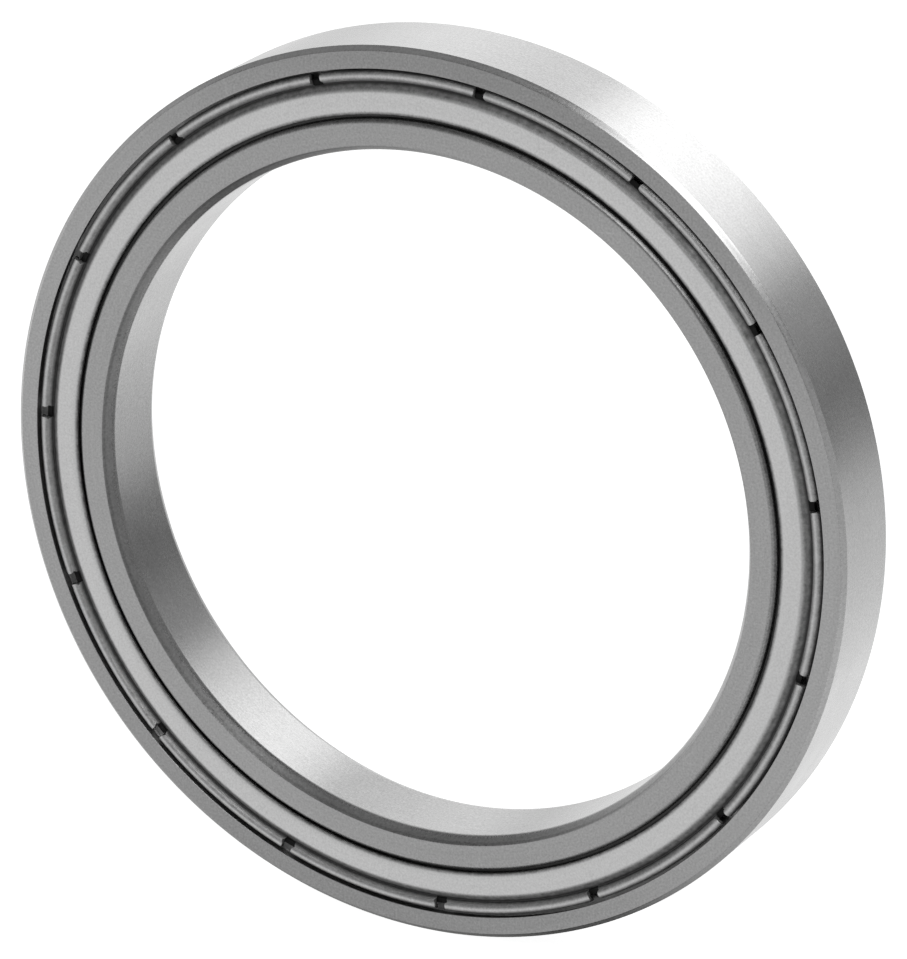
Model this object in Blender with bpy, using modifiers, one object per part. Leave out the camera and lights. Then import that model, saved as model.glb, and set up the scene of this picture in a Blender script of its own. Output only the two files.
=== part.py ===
"""A shielded deep groove ball bearing of thin section, 50 x 65 x 7 mm, in metres.

The bearing stands on its rim with its axis along Y and its centre at the origin. Its front face looks
along -Y. Every piece is modelled about its own Z axis, with the front side at +Z, and then laid over.
"""

import math

import bmesh
import bpy
from mathutils import Matrix, Vector

MM = 0.001

# Boundary dimensions
BORE = 50 * MM
OUTSIDE = 65 * MM
WIDTH = 7 * MM
OUTSIDE_CHAMFER = 0.35 * MM
BORE_CHAMFER = 0.5 * MM
BORE_CHAMFER_LENGTH = 0.85 * MM

# Balls and raceways
BALLS = 24
BALL = 3.969 * MM
PITCH = 57.5 * MM
RACEWAY_RADIUS = 0.52 * BALL
RUNNING_GAP = 0.04 * MM
INNER_LAND = 55.36 * MM
OUTER_LAND = 60.3 * MM

# Shoulder of the inner ring, which steps out to the land below the shield's edge
INNER_SHOULDER = 54.8 * MM
SHOULDER_CHAMFER = 0.25 * MM
SHOULDER_DEPTH = 0.55 * MM

# Shield groove in the outer ring, with depths measured from the ring's face
GROOVE_MOUTH = 61.76 * MM
GROOVE_ROOT = 62.4 * MM
GROOVE_UNDERCUT_DEPTH = 0.6 * MM
GROOVE_DEPTH = 1.05 * MM

# Pressed shield, with depths measured from the ring's face
SHEET = 0.28 * MM
SHIELD_BORE = 55.30 * MM
SHIELD_STEP = 58.6 * MM
SHIELD_DEPTH = 0.14 * MM
CHANNEL_INSIDE = 59.7 * MM
CHANNEL_OUTSIDE = 59.8 * MM
CHANNEL_DEPTH = 0.55 * MM
CURL_INSIDE = 60.24 * MM
CURL_OUTSIDE = 61.38 * MM
CURL_LEAN = 0.08 * MM
CURL_TOP_DEPTH = 0.06 * MM
CURL_END_DEPTH = 0.55 * MM
NOTCHES = 15
NOTCH_WIDTH = 0.75 * MM
NOTCH_DEPTH = 0.48 * MM
FRONT_NOTCH_ANGLE = math.radians(9.2)
REAR_NOTCH_ANGLE = math.radians(14.0)

# Pressed ribbon cage and its rivets
CAGE_SHEET = 0.3 * MM
CAGE_BORE = 55.6 * MM
CAGE_OUTSIDE = 59.4 * MM
CAGE_SEAM = 0.04 * MM
POCKET_RADIUS = BALL / 2 + 0.12 * MM
RIVET_SHANK = 0.6 * MM
RIVET_HEAD = 1.1 * MM
RIVET_HEAD_HEIGHT = 0.22 * MM
RIVET_GAP = 0.03 * MM

# Flat sides that stand for round surfaces
RING_SIDES = 60
RACEWAY_STEPS = 6
BALL_SIDES = 10
BALL_RINGS = 6
POCKET_STEPS = 5
RIVET_SIDES = 6
SHARP_ANGLE = math.radians(25)

BALL_PITCH_ANGLE = 2 * math.pi / BALLS
FACE = WIDTH / 2
# Lays a piece's own Z axis along -Y, so that its front side looks forward.
LAY_OVER = Matrix.Rotation(math.pi / 2, 4, "X")


def clear_scene():
    for obj in list(bpy.data.objects):
        bpy.data.objects.remove(obj)


def new_collection(name):
    collection = bpy.data.collections.new(name)
    bpy.context.scene.collection.children.link(collection)
    return collection


def steel(name, value, roughness):
    """A neutral metal of one brightness."""
    material = bpy.data.materials.new(name)
    material.use_nodes = True
    surface = material.node_tree.nodes["Principled BSDF"]
    surface.inputs["Base Color"].default_value = (value, value, value, 1)
    surface.inputs["Metallic"].default_value = 1.0
    surface.inputs["Roughness"].default_value = roughness
    return material


def circumscribed(radius):
    """The corner radius of a ring whose flat sides, not its corners, lie on this radius."""
    return radius / math.cos(math.pi / RING_SIDES)


def add_object(name, mesh, collection, material=None):
    obj = bpy.data.objects.new(name, mesh)
    collection.objects.link(obj)
    if material:
        mesh.materials.append(material)
    return obj


def settle(obj):
    """Replaces an object's mesh by what its modifiers make of it, shaded smooth with sharp corners."""
    bpy.context.view_layer.update()
    evaluated = obj.evaluated_get(bpy.context.evaluated_depsgraph_get())
    mesh = bpy.data.meshes.new_from_object(evaluated)
    obj.modifiers.clear()
    old, obj.data = obj.data, mesh
    bpy.data.meshes.remove(old)
    mesh.name = obj.name
    mesh.shade_smooth()
    mesh.set_sharp_from_angle(angle=SHARP_ANGLE)


def turned(name, profile, sides, collection, material, closed=True):
    """A profile of (radius, height) points, down its outer side, turned about Z."""
    edges = [(i, i + 1) for i in range(len(profile) - 1)]
    if closed:
        edges.append((len(profile) - 1, 0))
    mesh = bpy.data.meshes.new(name)
    mesh.from_pydata([(radius, 0, height) for radius, height in profile], edges, [])
    obj = add_object(name, mesh, collection, material)
    screw = obj.modifiers.new("Turn", "SCREW")
    screw.steps = screw.render_steps = sides
    screw.use_merge_vertices = True
    screw.merge_threshold = 1e-6
    settle(obj)
    return obj


def raceway(land_radius, centre_radius, side):
    """The raceway's arc from the front land to the rear one, at side -1 of its centre or +1."""
    half_angle = math.acos(abs(land_radius - centre_radius) / RACEWAY_RADIUS)
    angles = [half_angle * (1 - 2 * step / RACEWAY_STEPS) for step in range(RACEWAY_STEPS + 1)]
    return [
        (centre_radius + side * RACEWAY_RADIUS * math.cos(a), RACEWAY_RADIUS * math.sin(a))
        for a in angles
    ]


def mirrored(profile):
    """The same points on the other side of the bearing's middle plane, in reverse order."""
    return [(radius, -height) for radius, height in reversed(profile)]


def make_outer_ring(collection, material):
    outside = OUTSIDE / 2
    land = circumscribed(OUTER_LAND / 2)
    centre = circumscribed(PITCH / 2 + BALL / 2 + RUNNING_GAP) - RACEWAY_RADIUS
    rim = [(outside - OUTSIDE_CHAMFER, FACE), (outside, FACE - OUTSIDE_CHAMFER)]
    groove = [
        (land, FACE - GROOVE_DEPTH),
        (GROOVE_ROOT / 2, FACE - GROOVE_DEPTH),
        (GROOVE_ROOT / 2, FACE - GROOVE_UNDERCUT_DEPTH),
        (GROOVE_MOUTH / 2, FACE),
    ]
    # Down the outside and back up the inside.
    inside = mirrored(groove) + list(reversed(raceway(land, centre, 1))) + groove
    return turned("outer_ring", rim + mirrored(rim) + inside, RING_SIDES, collection, material)


def make_inner_ring(collection, material):
    bore, shoulder, land = BORE / 2, INNER_SHOULDER / 2, INNER_LAND / 2
    centre = PITCH / 2 - BALL / 2 - RUNNING_GAP + RACEWAY_RADIUS
    step = [
        (shoulder - SHOULDER_CHAMFER, FACE),
        (shoulder, FACE - SHOULDER_CHAMFER),
        (shoulder, FACE - SHOULDER_DEPTH),
        (land, FACE - SHOULDER_DEPTH),
    ]
    bore_edge = [(bore, FACE - BORE_CHAMFER_LENGTH), (bore + BORE_CHAMFER, FACE)]
    outer_side = step + raceway(land, centre, -1) + mirrored(step)
    return turned("inner_ring", outer_side + mirrored(bore_edge) + bore_edge, RING_SIDES, collection, material)


def radius_at(height, start, end):
    """The radius at this height on the straight line through two points of the section."""
    share = (height - start[1]) / (end[1] - start[1])
    return start[0] + share * (end[0] - start[0])


def width_across(start, end):
    """The sheet's width measured along the radius, where its surface slopes from start to end."""
    return SHEET * math.dist(start, end) / abs(end[1] - start[1])


def shield_profile():
    """The sheet's section: flat annulus, slanted channel, and the curl that folds over outward."""
    top = FACE - SHIELD_DEPTH
    floor = FACE - CHANNEL_DEPTH
    curl_top = FACE - CURL_TOP_DEPTH
    curl_end = FACE - CURL_END_DEPTH
    inside = SHIELD_BORE / 2
    crown = CURL_OUTSIDE / 2
    # The channel's two walls, each from its top to its foot
    step = [(SHIELD_STEP / 2, top), (CHANNEL_INSIDE / 2, floor)]
    leg = [(CURL_INSIDE / 2, curl_top), (CHANNEL_OUTSIDE / 2, floor)]
    back_of_step = [(radius_at(h, *step) - width_across(*step), h) for h in (floor - SHEET, top - SHEET)]
    fold = ((leg[0][0] + crown) / 2 - SHEET / 8, curl_top - SHEET)
    back_of_leg = (radius_at(floor - SHEET, *leg) + width_across(*leg), floor - SHEET)
    front = [(inside, top)] + step + list(reversed(leg)) + [(crown, curl_top), (crown + CURL_LEAN, curl_end)]
    back = [(crown + CURL_LEAN - SHEET, curl_end), fold, back_of_leg] + back_of_step + [(inside, top - SHEET)]
    return front + back


def make_notch_cutter(name, first_angle, collection):
    """Bars in a ring that cut the curl through, and stop above the channel's floor."""
    inner, outer = (CHANNEL_INSIDE + CHANNEL_OUTSIDE) / 4, CURL_OUTSIDE / 2 + 2 * SHEET
    top, bottom = FACE + SHEET, FACE - NOTCH_DEPTH
    size = Matrix.Diagonal((outer - inner, NOTCH_WIDTH, top - bottom, 1))
    place = Matrix.Translation(((inner + outer) / 2, 0, (top + bottom) / 2))
    bars = bmesh.new()
    for notch in range(NOTCHES):
        turn = Matrix.Rotation(first_angle + 2 * math.pi * notch / NOTCHES, 4, "Z")
        bmesh.ops.create_cube(bars, size=1, matrix=turn @ place @ size)
    mesh = bpy.data.meshes.new(name)
    bars.to_mesh(mesh)
    bars.free()
    return add_cutter(name, mesh, collection)


def add_cutter(name, mesh, collection):
    cutter = add_object(name, mesh, collection)
    cutter.hide_render = True
    cutter.display_type = "WIRE"
    return cutter


def cut(obj, cutter):
    boolean = obj.modifiers.new("Cut", "BOOLEAN")
    boolean.operation = "DIFFERENCE"
    boolean.solver = "EXACT"
    boolean.object = cutter
    settle(obj)


def make_shield(name, notch_angle, front, collection, cutters, material):
    shield = turned(name, shield_profile(), RING_SIDES, collection, material)
    cut(shield, make_notch_cutter(name + "_notches", notch_angle, cutters))
    if not front:
        shield.matrix_world = Matrix.Rotation(math.pi, 4, "Y")
    return shield


def ribbon_heights():
    """The (angle, height) points of the ribbon's inner side: a pocket's arc over each ball, flat between."""
    half_pocket = math.asin(POCKET_RADIUS / (PITCH / 2))
    points = []
    for ball in range(BALLS):
        for step in range(POCKET_STEPS + 1):
            arc = math.pi * step / POCKET_STEPS
            angle = ball * BALL_PITCH_ANGLE - half_pocket * math.cos(arc)
            points.append((angle, CAGE_SEAM / 2 + POCKET_RADIUS * math.sin(arc)))
    return points


def make_cage_half(name, front, collection, cutter, material):
    """A wire round the ribbon's inner edge, pulled out to its outer edge, thickened and drilled."""
    ribbon = bmesh.new()
    ring = [
        ribbon.verts.new((CAGE_BORE / 2 * math.cos(a), CAGE_BORE / 2 * math.sin(a), height))
        for a, height in ribbon_heights()
    ]
    edges = [ribbon.edges.new((ring[i - 1], ring[i])) for i in range(len(ring))]
    pulled = bmesh.ops.extrude_edge_only(ribbon, edges=edges)
    outer_edge = [v for v in pulled["geom"] if isinstance(v, bmesh.types.BMVert)]
    widen = CAGE_OUTSIDE / CAGE_BORE
    bmesh.ops.scale(ribbon, vec=(widen, widen, 1), verts=outer_edge)
    bmesh.ops.recalc_face_normals(ribbon, faces=ribbon.faces)
    if sum(face.normal.z for face in ribbon.faces) < 0:
        bmesh.ops.reverse_faces(ribbon, faces=ribbon.faces)
    mesh = bpy.data.meshes.new(name)
    ribbon.to_mesh(mesh)
    ribbon.free()
    half = add_object(name, mesh, collection, material)
    thicken = half.modifiers.new("Sheet", "SOLIDIFY")
    thicken.thickness = CAGE_SHEET
    thicken.offset = 1
    thicken.use_even_offset = True
    settle(half)
    cut(half, cutter)
    if not front:
        # The rear half is turned about the radius through a ball, so that its pockets meet the front ones.
        half.matrix_world = Matrix.Rotation(math.pi, 4, "X")
    return half


def rivet_place(number):
    """The middle of the flat between two balls, on the pitch circle."""
    angle = (number + 0.5) * BALL_PITCH_ANGLE
    return Vector((PITCH / 2 * math.cos(angle), PITCH / 2 * math.sin(angle), 0))


def make_rivet_hole_cutter(collection):
    holes = bmesh.new()
    for number in range(BALLS):
        bmesh.ops.create_cone(
            holes,
            cap_ends=True,
            segments=RIVET_SIDES,
            radius1=RIVET_SHANK / 2 + RIVET_GAP,
            radius2=RIVET_SHANK / 2 + RIVET_GAP,
            depth=4 * CAGE_SHEET,
            matrix=Matrix.Translation(rivet_place(number)),
        )
    mesh = bpy.data.meshes.new("rivet_holes")
    holes.to_mesh(mesh)
    holes.free()
    return add_cutter("rivet_holes", mesh, collection)


def make_rivets(collection, material):
    under_head = CAGE_SEAM / 2 + CAGE_SHEET + RIVET_GAP
    top = under_head + RIVET_HEAD_HEIGHT
    upper = [
        (0, top),
        (0.65 * RIVET_HEAD / 2, top),
        (RIVET_HEAD / 2, under_head),
        (RIVET_SHANK / 2, under_head),
    ]
    profile = upper + mirrored(upper)
    first = turned("rivet_01", profile, RIVET_SIDES, collection, material, closed=False)
    rivets = [first]
    for number in range(1, BALLS):
        rivets.append(add_object(f"rivet_{number + 1:02}", first.data, collection))
    for number, rivet in enumerate(rivets):
        rivet.matrix_world = Matrix.Translation(rivet_place(number))
    return rivets


def make_balls(collection, material):
    sphere = bmesh.new()
    bmesh.ops.create_uvsphere(sphere, u_segments=BALL_SIDES, v_segments=BALL_RINGS, radius=BALL / 2)
    mesh = bpy.data.meshes.new("ball")
    sphere.to_mesh(mesh)
    sphere.free()
    mesh.shade_smooth()
    mesh.materials.append(material)
    balls = []
    for number in range(BALLS):
        ball = add_object(f"ball_{number + 1:02}", mesh, collection)
        turn = Matrix.Rotation(number * BALL_PITCH_ANGLE, 4, "Z")
        ball.matrix_world = turn @ Matrix.Translation((PITCH / 2, 0, 0))
        balls.append(ball)
    return balls


def add_axis(name, collection, location=(0, 0, 0)):
    """An empty on a joint's axis, its own Z along the bearing's axis."""
    empty = bpy.data.objects.new(name, None)
    empty.empty_display_size = WIDTH
    empty.matrix_world = Matrix.Translation(location)
    collection.objects.link(empty)
    return empty


def attach(children, parent):
    bpy.context.view_layer.update()
    for child in children:
        place = child.matrix_world.copy()
        child.parent = parent
        child.matrix_parent_inverse = parent.matrix_world.inverted()
        child.matrix_world = place


def build():
    clear_scene()
    bearing = new_collection("ball_bearing")
    cutters = new_collection("cutters")

    ring_steel = steel("ground_ring_steel", 0.50, 0.35)
    shield_steel = steel("pressed_shield_steel", 0.62, 0.30)
    ball_steel = steel("polished_ball_steel", 0.70, 0.08)
    cage_steel = steel("pressed_cage_steel", 0.45, 0.40)
    rivet_steel = steel("rivet_steel", 0.40, 0.35)

    outer_ring = make_outer_ring(bearing, ring_steel)
    inner_ring = make_inner_ring(bearing, ring_steel)
    front_shield = make_shield("front_shield", FRONT_NOTCH_ANGLE, True, bearing, cutters, shield_steel)
    rear_shield = make_shield("rear_shield", REAR_NOTCH_ANGLE, False, bearing, cutters, shield_steel)
    balls = make_balls(bearing, ball_steel)
    rivet_holes = make_rivet_hole_cutter(cutters)
    cage_halves = [
        make_cage_half("cage_front", True, bearing, rivet_holes, cage_steel),
        make_cage_half("cage_rear", False, bearing, rivet_holes, cage_steel),
    ]
    rivets = make_rivets(bearing, rivet_steel)

    housing_axis = add_axis("housing_axis", bearing)
    shaft_axis = add_axis("shaft_axis", bearing)
    cage_axis = add_axis("cage_axis", bearing)
    attach([outer_ring, front_shield, rear_shield, shaft_axis, cage_axis], housing_axis)
    attach([inner_ring], shaft_axis)
    attach(cage_halves + rivets + balls, cage_axis)
    attach(cutters.objects, housing_axis)
    housing_axis.matrix_world = LAY_OVER


build()
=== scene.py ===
"""Looks of a shielded ball bearing of thin section, 50 x 65 x 7 mm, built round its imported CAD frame.

Every piece is made in the CAD's own place: the bearing's axis lies along Y, its centre is the origin
and its front face looks along -Y. Radii, heights and depths are in millimetres until place() turns
them into metres. A height is measured from the bearing's middle plane, and grows towards the front.
"""

import math

import bmesh
import bpy
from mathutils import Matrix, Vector


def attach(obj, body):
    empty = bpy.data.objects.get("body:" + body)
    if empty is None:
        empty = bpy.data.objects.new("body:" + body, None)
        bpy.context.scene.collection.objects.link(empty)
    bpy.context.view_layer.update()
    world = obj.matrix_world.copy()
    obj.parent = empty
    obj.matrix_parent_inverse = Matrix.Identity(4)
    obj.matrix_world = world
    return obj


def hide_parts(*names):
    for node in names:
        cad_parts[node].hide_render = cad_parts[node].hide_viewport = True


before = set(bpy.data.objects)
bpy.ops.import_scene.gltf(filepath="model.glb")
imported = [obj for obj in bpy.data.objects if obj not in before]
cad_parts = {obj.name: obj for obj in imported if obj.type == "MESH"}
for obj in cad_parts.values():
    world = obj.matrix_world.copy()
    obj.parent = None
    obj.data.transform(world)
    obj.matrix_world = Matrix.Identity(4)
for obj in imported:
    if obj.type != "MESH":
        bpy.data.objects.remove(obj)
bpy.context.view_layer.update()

MM = 0.001
TURN = 2 * math.pi

# Boundary dimensions, as in the CAD
BORE = 50.0
OUTSIDE = 65.0
FACE = 3.5
OUTSIDE_CHAMFER = 0.35
BORE_CHAMFER = 0.5
BORE_CHAMFER_LENGTH = 0.85

# Balls and raceways. They run closer together than in the CAD, whose flat-sided solids need more room.
BALLS = 24
BALL = 3.969
PITCH = 57.5
RACEWAY_RADIUS = 0.52 * BALL
RUNNING_GAP = 0.01
INNER_LAND = 55.36
OUTER_LAND = 60.3

# Shoulder of the inner ring, which steps out to the land below the shield's edge
INNER_SHOULDER = 54.8
SHOULDER_CHAMFER = 0.25
SHOULDER_DEPTH = 0.55

# Shield groove in the outer ring, with depths measured from the ring's face
GROOVE_MOUTH = 61.76
GROOVE_ROOT = 62.4
GROOVE_UNDERCUT_DEPTH = 0.6
GROOVE_DEPTH = 1.05

# Pressed shield, with depths measured from the ring's face
SHEET = 0.28
SHIELD_BORE = 55.30
SHIELD_STEP = 58.6
SHIELD_DEPTH = 0.14
LIP_WIDTH = 0.46
LIP_DROP = 0.07
CHANNEL_INSIDE = 59.7
CHANNEL_OUTSIDE = 59.8
CHANNEL_DEPTH = 0.55
CURL_INSIDE = 60.24
CURL_OUTSIDE = 61.38
CURL_LEAN = 0.08
CURL_TOP_DEPTH = 0.06
CURL_END_DEPTH = 0.55
NOTCHES = 15
NOTCH_WIDTH = 0.75
NOTCH_DEPTH = 0.48
NOTCH_CORNER = 0.16
NOTCH_CORNER_RISE = 0.2
# How far past a notch's edge the painted shade in it fades out
NOTCH_SHADE_FADE = 0.05
TAB_END_ROUNDING = 0.03
FRONT_NOTCH_ANGLE = math.radians(9.2)
REAR_NOTCH_ANGLE = math.radians(14.0)

# Pressed ribbon cage and its rivets
CAGE_SHEET = 0.3
CAGE_BORE = 55.6
CAGE_OUTSIDE = 59.4
CAGE_SEAM = 0.04
CAGE_ROUNDING = 0.07
POCKET_RADIUS = BALL / 2 + 0.12
POCKET_BEND = 0.35
RIVET_SHANK = 0.6
RIVET_HEAD = 1.1
RIVET_HEAD_HEIGHT = 0.22
RIVET_RIM_HEIGHT = 0.05
RIVET_EDGE = 0.02
RIVET_THROAT = 0.04
RIVET_GAP = 0.03

BALL_PITCH_ANGLE = TURN / BALLS

# Fineness of the meshes
RING_COLUMNS = 360
ARC_STEPS = 4
RACEWAY_STEPS = 20
TAB_COLUMNS = 18
BALL_CUTS = 15
POCKET_STEPS = 10
BEND_STEPS = 5
FLAT_STEPS = 4
RIVET_COLUMNS = 24
DOME_STEPS = 8
SHARP_ANGLE = math.radians(32)
STRAIGHT_ANGLE = math.radians(89)
FLAT_FACE_WEIGHT = 80

# A tab's columns beside each of its ends, by distance from it: close together where it is rounded
TAB_END_COLUMNS = (0, 0.035, 0.09, 0.17, 0.3, 0.5, 0.8)

# The eye's place, seen from the bearing's centre
EYE_AZIMUTH = math.radians(28.09)
EYE_ELEVATION = math.radians(20.39)
EYE_DISTANCE = 0.417
LENS = 237.2
SHIFT = (0.0136, 0.0074)
SENSOR_WIDTH = 36
CLIP_START = 0.01

# Floor: half its side in metres, and how brightly it glows by itself
FLOOR_REACH = 3.0
FLOOR_GLOW = 0.86

# Soft lights: towards, degrees within which a light is full, degrees at which it has faded, strength.
# The black flags have a negative strength: they take light away.
ROOM_LIGHT = 0.22
SOFT_LIGHTS = {
    "rear sweep": ((-0.47, 0.80, -0.37), 22, 58, 0.47),
    "rear top": ((-0.25, 0.83, 0.50), 8, 35, 0.72),
    "rear key": ((0.21, 0.83, 0.51), 4, 21, 1.25),
    "rear right": ((0.48, 0.83, 0.28), 0, 13, 0.22),
    "rear left": ((-0.54, 0.83, -0.20), 2, 18, 0.30),
    "rear floor": ((-0.20, 0.83, -0.52), 6, 24, 0.44),
    "rear floor right": ((0.36, 0.83, -0.40), 13, 22, 0.47),
    "left": ((-0.92, 0.28, -0.12), 20, 45, 0.22),
    "low right": ((0.42, -0.18, -0.88), 20, 45, 0.26),
    "front low": ((-0.54, -0.72, -0.43), 20, 48, 0.43),
    "front right": ((0.70, -0.64, -0.32), 12, 42, 0.30),
    "front key": ((0.39, -0.56, 0.73), 13, 21, 2.40),
    "black flag above": ((0.30, 0.10, 0.95), 10, 32, -0.15),
    "black flag below": ((-0.36, 0.33, -0.87), 14, 42, -0.34),
}


# Shapes


def place(radius, angle, height):
    """The point in metres at this radius, this angle from +X towards +Z, and this height."""
    return Vector((radius * math.cos(angle), -height, radius * math.sin(angle))) * MM


def arc_at(before, here, after, radius):
    """The points of an arc that rounds the corner at here. A sharp or straight corner is one point."""
    corner = Vector(here)
    back = (Vector(before) - corner).normalized()
    onward = (Vector(after) - corner).normalized()
    half = back.angle(onward) / 2
    if radius == 0 or half > STRAIGHT_ANGLE:
        return [corner]
    centre = corner + (back + onward).normalized() * radius / math.sin(half)
    start = corner + back * radius / math.tan(half) - centre
    turn = math.pi - 2 * half
    if back.cross(onward) > 0:
        turn = -turn
    points = []
    for step in range(ARC_STEPS + 1):
        angle = turn * step / ARC_STEPS
        turned_start = Vector(
            (
                start.x * math.cos(angle) - start.y * math.sin(angle),
                start.x * math.sin(angle) + start.y * math.cos(angle),
            )
        )
        points.append(centre + turned_start)
    return points


def rounded(corners):
    """For a closed section of (radius, height, rounding) corners, the points of each corner in turn."""
    flat = [(radius, height) for radius, height, _ in corners]
    count = len(corners)
    return [
        arc_at(flat[i - 1], flat[i], flat[(i + 1) % count], corners[i][2])
        for i in range(count)
    ]


def mirrored(corners):
    """The same corners on the other side of the middle plane, in reverse order."""
    return [(radius, -height, rounding) for radius, height, rounding in reversed(corners)]


def finish_mesh(name, shape, material):
    """Makes an object of a bmesh, with outward faces, smooth shading and sharp edges kept."""
    bmesh.ops.recalc_face_normals(shape, faces=shape.faces)
    mesh = bpy.data.meshes.new(name)
    shape.to_mesh(mesh)
    shape.free()
    mesh.shade_smooth()
    mesh.set_sharp_from_angle(angle=SHARP_ANGLE)
    mesh.materials.append(material)
    piece = bpy.data.objects.new(name, mesh)
    bpy.context.scene.collection.objects.link(piece)
    return piece


def keep_flats_flat(piece):
    """Shades the wide faces flat and leaves the turn of light to the narrow rounded edges."""
    weighted = piece.modifiers.new("Flats", "WEIGHTED_NORMAL")
    weighted.keep_sharp = True
    weighted.weight = FLAT_FACE_WEIGHT


def turned(name, section, material):
    """A closed section of (radius, height) points, turned once round the bearing's axis."""
    shape = bmesh.new()
    columns = []
    for column in range(RING_COLUMNS):
        angle = TURN * column / RING_COLUMNS
        columns.append([shape.verts.new(place(point[0], angle, point[1])) for point in section])
    for column in range(RING_COLUMNS):
        left, right = columns[column - 1], columns[column]
        for i in range(len(section)):
            shape.faces.new((left[i - 1], left[i], right[i], right[i - 1]))
    piece = finish_mesh(name, shape, material)
    keep_flats_flat(piece)
    return piece


def raceway(land_radius, centre_radius, side):
    """The raceway's arc from the front land to the rear one, at side -1 of its centre or +1."""
    half_angle = math.acos(abs(land_radius - centre_radius) / RACEWAY_RADIUS)
    corners = []
    for step in range(RACEWAY_STEPS + 1):
        angle = half_angle * (1 - 2 * step / RACEWAY_STEPS)
        radius = centre_radius + side * RACEWAY_RADIUS * math.cos(angle)
        corners.append((radius, RACEWAY_RADIUS * math.sin(angle), 0))
    return corners


def points_of(corner_arcs):
    """All the corners' points as one run."""
    return [point for arc in corner_arcs for point in arc]


def make_outer_ring(material):
    """The outer ring: chamfers outside, then groove, land and raceway inside, the same on both sides."""
    outside, land = OUTSIDE / 2, OUTER_LAND / 2
    centre = PITCH / 2 + BALL / 2 + RUNNING_GAP - RACEWAY_RADIUS
    front = [
        (outside, FACE - OUTSIDE_CHAMFER, 0),
        (outside - OUTSIDE_CHAMFER, FACE, 0),
        (GROOVE_MOUTH / 2, FACE, 0.04),
        (GROOVE_ROOT / 2, FACE - GROOVE_UNDERCUT_DEPTH, 0.08),
        (GROOVE_ROOT / 2, FACE - GROOVE_DEPTH, 0.12),
        (land, FACE - GROOVE_DEPTH, 0.05),
    ]
    corners = front + raceway(land, centre, 1) + mirrored(front)
    return turned("outer_ring_turned", points_of(rounded(corners)), material)


def make_inner_ring(material):
    """The inner ring: chamfered bore, then shoulder, land and raceway outside, the same on both sides."""
    bore, shoulder, land = BORE / 2, INNER_SHOULDER / 2, INNER_LAND / 2
    centre = PITCH / 2 - BALL / 2 - RUNNING_GAP + RACEWAY_RADIUS
    front = [
        (bore, FACE - BORE_CHAMFER_LENGTH, 0.6),
        (bore + BORE_CHAMFER, FACE, 0),
        (shoulder - SHOULDER_CHAMFER, FACE, 0.4),
        (shoulder, FACE - SHOULDER_CHAMFER, 0.4),
        (shoulder, FACE - SHOULDER_DEPTH, 0.06),
        (land, FACE - SHOULDER_DEPTH, 0.05),
    ]
    corners = front + raceway(land, centre, -1) + mirrored(front)
    return turned("inner_ring_turned", points_of(rounded(corners)), material)


def radius_at(height, start, end):
    """The radius at this height on the straight line through two (radius, height) points."""
    share = (height - start[1]) / (end[1] - start[1])
    return start[0] + share * (end[0] - start[0])


def width_across(start, end):
    """The sheet's width measured along the radius, where its surface slopes from start to end."""
    return SHEET * math.dist(start, end) / abs(end[1] - start[1])


def shield_section():
    """The sheet's section as three runs of points: up to the curl's root, the curl, and back again.

    The front run goes from the inner lip over the flat and down into the channel. The curl rises as a
    leg, folds outward and ends beside the groove's wall.
    """
    top, floor, root = FACE - SHIELD_DEPTH, FACE - CHANNEL_DEPTH, FACE - NOTCH_DEPTH
    curl_top, curl_end = FACE - CURL_TOP_DEPTH, FACE - CURL_END_DEPTH
    inside, crown = SHIELD_BORE / 2, CURL_OUTSIDE / 2
    # The channel's two walls, each from its top to its foot
    step = [(SHIELD_STEP / 2, top), (CHANNEL_INSIDE / 2, floor)]
    leg = [(CURL_INSIDE / 2, curl_top), (CHANNEL_OUTSIDE / 2, floor)]
    fold = ((leg[0][0] + crown) / 2 - SHEET / 8, curl_top - SHEET)
    back_of_leg = (radius_at(floor - SHEET, *leg) + width_across(*leg), floor - SHEET)
    back_of_step = [(radius_at(h, *step) - width_across(*step), h) for h in (floor - SHEET, top - SHEET)]
    front_run = [
        (inside, top - LIP_DROP, 0.06),
        (inside + LIP_WIDTH, top, 1.5),
        (*step[0], 0.6),
        (*step[1], 0.06),
        (*leg[1], 0.03),
        (radius_at(root, *leg), root, 0),
    ]
    curl = [
        (*leg[0], 0.32),
        (crown, curl_top, 0.34),
        (crown + CURL_LEAN, curl_end, 0.08),
        (crown + CURL_LEAN - SHEET, curl_end, 0.05),
        (*fold, 0.02),
    ]
    back_run = [
        (radius_at(root, fold, back_of_leg), root, 0),
        (*back_of_leg, 0.14),
        (*back_of_step[0], 0.2),
        (*back_of_step[1], 0.6),
        (inside, top - SHEET, 0.05),
    ]
    arcs = rounded(front_run + curl + back_run)
    first, last = len(front_run), len(front_run) + len(curl)
    return points_of(arcs[:first]), points_of(arcs[first:last]), points_of(arcs[last:])


def shield_columns(first_notch):
    """For each column: its angle, its distance into its tab, and on which side the tab's nearer end is.

    The column in the middle of a notch has no distance.
    """
    crown_radius = (CURL_INSIDE + CURL_OUTSIDE) / 4
    pitch = TURN / NOTCHES
    half_notch = NOTCH_WIDTH / 2 / crown_radius
    columns = []
    for notch in range(NOTCHES):
        centre = first_notch + notch * pitch
        columns.append((centre, None, 0))
        start, stop = centre + half_notch, centre + pitch - half_notch
        for distance in TAB_END_COLUMNS:
            columns.append((start + distance / crown_radius, distance, 1))
        reach = TAB_END_COLUMNS[-1] / crown_radius
        for i in range(1, TAB_COLUMNS):
            angle = start + reach + (stop - start - 2 * reach) * i / TAB_COLUMNS
            columns.append((angle, TAB_END_COLUMNS[-1], 1))
        for distance in reversed(TAB_END_COLUMNS):
            columns.append((stop - distance / crown_radius, distance, -1))
    return columns


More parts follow.
